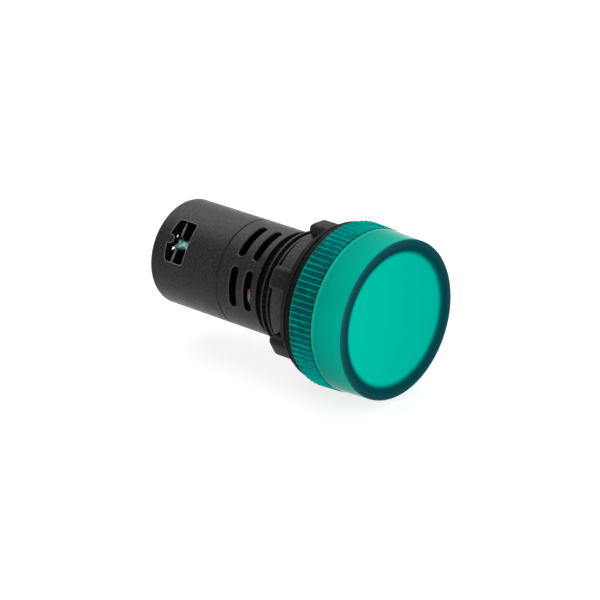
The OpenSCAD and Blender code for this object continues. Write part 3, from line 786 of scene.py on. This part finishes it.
def flatten_ridges(v):
    """Takes the ring ridges off the neck, down to the thread root."""
    r = math.hypot(v.co.x, v.co.z)
    if 0.2 * MM < v.co.y < NECK_END - 0.6 * MM and r > ROOT_R + 0.01 * MM:
        v.co.x *= ROOT_R / r
        v.co.z *= ROOT_R / r


def housing_side(face):
    """Which finish a housing's face wears, by where it lies and how it is turned: painted shade
    inside and in the thread's root, a painted highlight on the slots' bevels.
    """
    y, r, out = face.center.y, math.hypot(face.center.x, face.center.z), facing_out(face)
    at_slots = SLOTS_START < y < SLOTS_END and SLOT_EDGE_LOW < r < SLOT_EDGE_HIGH
    # the slots' bevels wear the lighter finish, a painted highlight
    if at_slots and 0.3 < out < 0.93:
        return SLOT_EDGE
    # the neck's faces below its skin, the thread's root, take the painted shade
    if y <= NECK_END:
        return CORE if r < NECK_SKIN_R else OUTSIDE
    within = r < CORE_R or (r < SKIN_R and out < 0.5)
    return CORE if within and y < REAR_WALL else OUTSIDE


# the second finish paints the housings' insides in shade
housing_finishes = (body_black, painted_shade_inside("dark core side"),
                    # the third finish paints a highlight on the slots' bevels
                    black_moulding("moulded edge", (0.016, 0.014, 0.016), 0.35, 0.4, 0.0))
# a much lighter black moulding: the painted highlight along the window's edges
window_edge_highlight = black_moulding("window edge", (0.07, 0.062, 0.07), 0.4, 0.6, 0.0)

front_body = merged_copy("front_housing", "front_body", flatten_ridges)
finish_faces(front_body, housing_finishes, housing_side)
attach(front_body, "lamp")
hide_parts("front_housing")

rear_body = merged_copy("rear_housing", "rear_body")
finish_faces(rear_body, housing_finishes, housing_side)
# the window's lip carries the painted highlight
lip = lip_along(rear_body, "window_lip", WINDOW_START, WINDOW_END, 0.075 * MM, window_edge_highlight)
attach(lip, "lamp")
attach(rear_body, "lamp")
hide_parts("rear_housing")

thread = grown("neck_thread", thread_ridge(), turns=6.6, pitch=1.4 * MM,
               root_radius=ROOT_R - 0.1 * MM, ridge_height=1.55 * MM, root_width=0.7 * MM,
               crest_width=0.42 * MM, first_angle=-0.546, rear_end=10.2 * MM,
               finish=body_black)
smooth_over(thread.data, 35)
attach(thread, "lamp")


# ---------- terminals and resistor behind the openings ----------

def turn_to_window(piece):
    """Turns a piece made at the top of the body round to the wire window."""
    piece.data.transform(Matrix.Rotation(-WINDOW_TURN, 4, "Y"))


WASHER_TOP, WASHER_FACE = 6.9 * MM, 35.35 * MM
WASHER_NEAR, WASHER_FAR = 1.1 * MM, 4.4 * MM  # the pressed edge's two ends, from the web
# near-white strips on the washers' front edges paint their highlight
washer_painted_highlight = moulded("washer edge catching light", (0.82, 0.95, 0.98), 0.3)
for side, name in ((-1, "left"), (1, "right")):
    x_low, x_high = sorted((side * WASHER_NEAR, side * WASHER_FAR))
    strip = boxed("washer_edge_" + name, (x_low, WASHER_FACE - 0.02 * MM, WASHER_TOP - 0.4 * MM),
                  (x_high, WASHER_FACE + 0.2 * MM, WASHER_TOP + 0.03 * MM))
    bevelled(strip, 0.06 * MM, 2)
    strip.data.materials.append(washer_painted_highlight)
    turn_to_window(strip)
    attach(strip, "washer_" + name)

RESISTOR_X, RESISTOR_Z, RESISTOR_R = -4.75 * MM, 3.05 * MM, 1.72 * MM
WIRE_HALF = 0.25 * MM


def resistor_profile():
    """Two swelled ends with a slimmer waist between them."""
    length = RESISTOR_END - RESISTOR_START
    half = [(0, 0), (1.3 * MM, 0), (1.6 * MM, 0.12 * MM), (RESISTOR_R, 0.45 * MM),
            (RESISTOR_R, 1.3 * MM), (1.62 * MM, 1.8 * MM)]
    return [(r, y, 0) for r, y in half] + [(r, length - y, 0) for r, y in half[::-1]]


resistor = turned_shell("banded_resistor", resistor_profile(), 48)
resistor.data.materials.append(lilac_lacquer)
resistor.data.transform(Matrix.Translation((RESISTOR_X, RESISTOR_START, RESISTOR_Z)))
turn_to_window(resistor)
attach(resistor, "lamp")
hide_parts("dropper_resistor")

tinned = plated("tinned wire", (0.6, 0.6, 0.6), 0.3)
x_low, x_high = RESISTOR_X - WIRE_HALF, RESISTOR_X + WIRE_HALF
for name, y_low, y_high, bend_y in (("rear_lead", 17.8 * MM, 18.75 * MM, 18.6 * MM),
                                    ("front_lead", 10.25 * MM, 11.2 * MM, 10.4 * MM)):
    lead = boxed(name, (x_low, y_low, RESISTOR_Z - WIRE_HALF),
                 (x_high, y_high, RESISTOR_Z + WIRE_HALF))
    leg = boxed(name + "_leg", (x_low, bend_y - WIRE_HALF, 1.2 * MM),
                (x_high, bend_y + WIRE_HALF, 3.0 * MM))
    for wire in (lead, leg):
        bevelled(wire, 0.17 * MM, 3)
        wire.data.materials.append(tinned)
        turn_to_window(wire)
        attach(wire, "lamp")


# ---------- stage, light and camera ----------

def floor(level):
    """A pale floor, 4 m square."""
    mesh = bpy.data.meshes.new("floor")
    mesh.from_pydata([(-2, -2, level), (2, -2, level), (2, 2, level), (-2, 2, level)],
                     [], [(0, 1, 2, 3)])
    f = Finish("pale floor")
    tone = f.steps(f.grain(60, 2.0), (DIM, (0.28, 0.28, 0.28)), (BRIGHT, (0.3, 0.3, 0.3)))
    f.set(Base_Color=tone, Roughness=0.8, Specular_IOR_Level=0.1,
          Emission_Color=(1, 1, 1), Emission_Strength=0.78)
    mesh.materials.append(f.material)
    placed("floor", mesh)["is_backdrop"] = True


def softbox(name, place, aim, size, power):
    """A soft rectangular light, turned towards a point."""
    light = bpy.data.lights.new(name, "AREA")
    light.shape = "RECTANGLE"
    light.size, light.size_y = size
    light.energy = power
    lamp = placed(name, light)
    lamp.location = place
    lamp.rotation_euler = (Vector(aim) - Vector(place)).to_track_quat("-Z", "Y").to_euler()


floor(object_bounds()[0][2] - 0.2 * MM)

world = bpy.data.worlds.new("studio")
bpy.context.scene.world = world
world.use_nodes = True
world.node_tree.nodes["Background"].inputs["Color"].default_value = (1, 1, 1, 1)
world.node_tree.nodes["Background"].inputs["Strength"].default_value = 1.0

middle = (0, 0.013, 0)
softbox("key", (0.2, 0.45, 0.65), middle, (0.9, 0.5), 3.6)
softbox("front", (0.15, -0.9, 0.25), middle, (0.5, 0.4), 1.2)

camera_data = bpy.data.cameras.new("camera")
camera_data.lens = 193.71
camera_data.sensor_width = 36.0
camera_data.clip_start = 0.01
camera_data.clip_end = 20.0
camera = placed("camera", camera_data)
towards_camera = Vector((-0.6827, -0.6329, 0.36518)).normalized()
camera.location = (-0.40201, -0.36272, 0.21268)
camera.rotation_euler = towards_camera.to_track_quat("Z", "Y").to_euler()
bpy.context.scene.camera = camera
bpy.context.scene.view_settings.view_transform = "Standard"
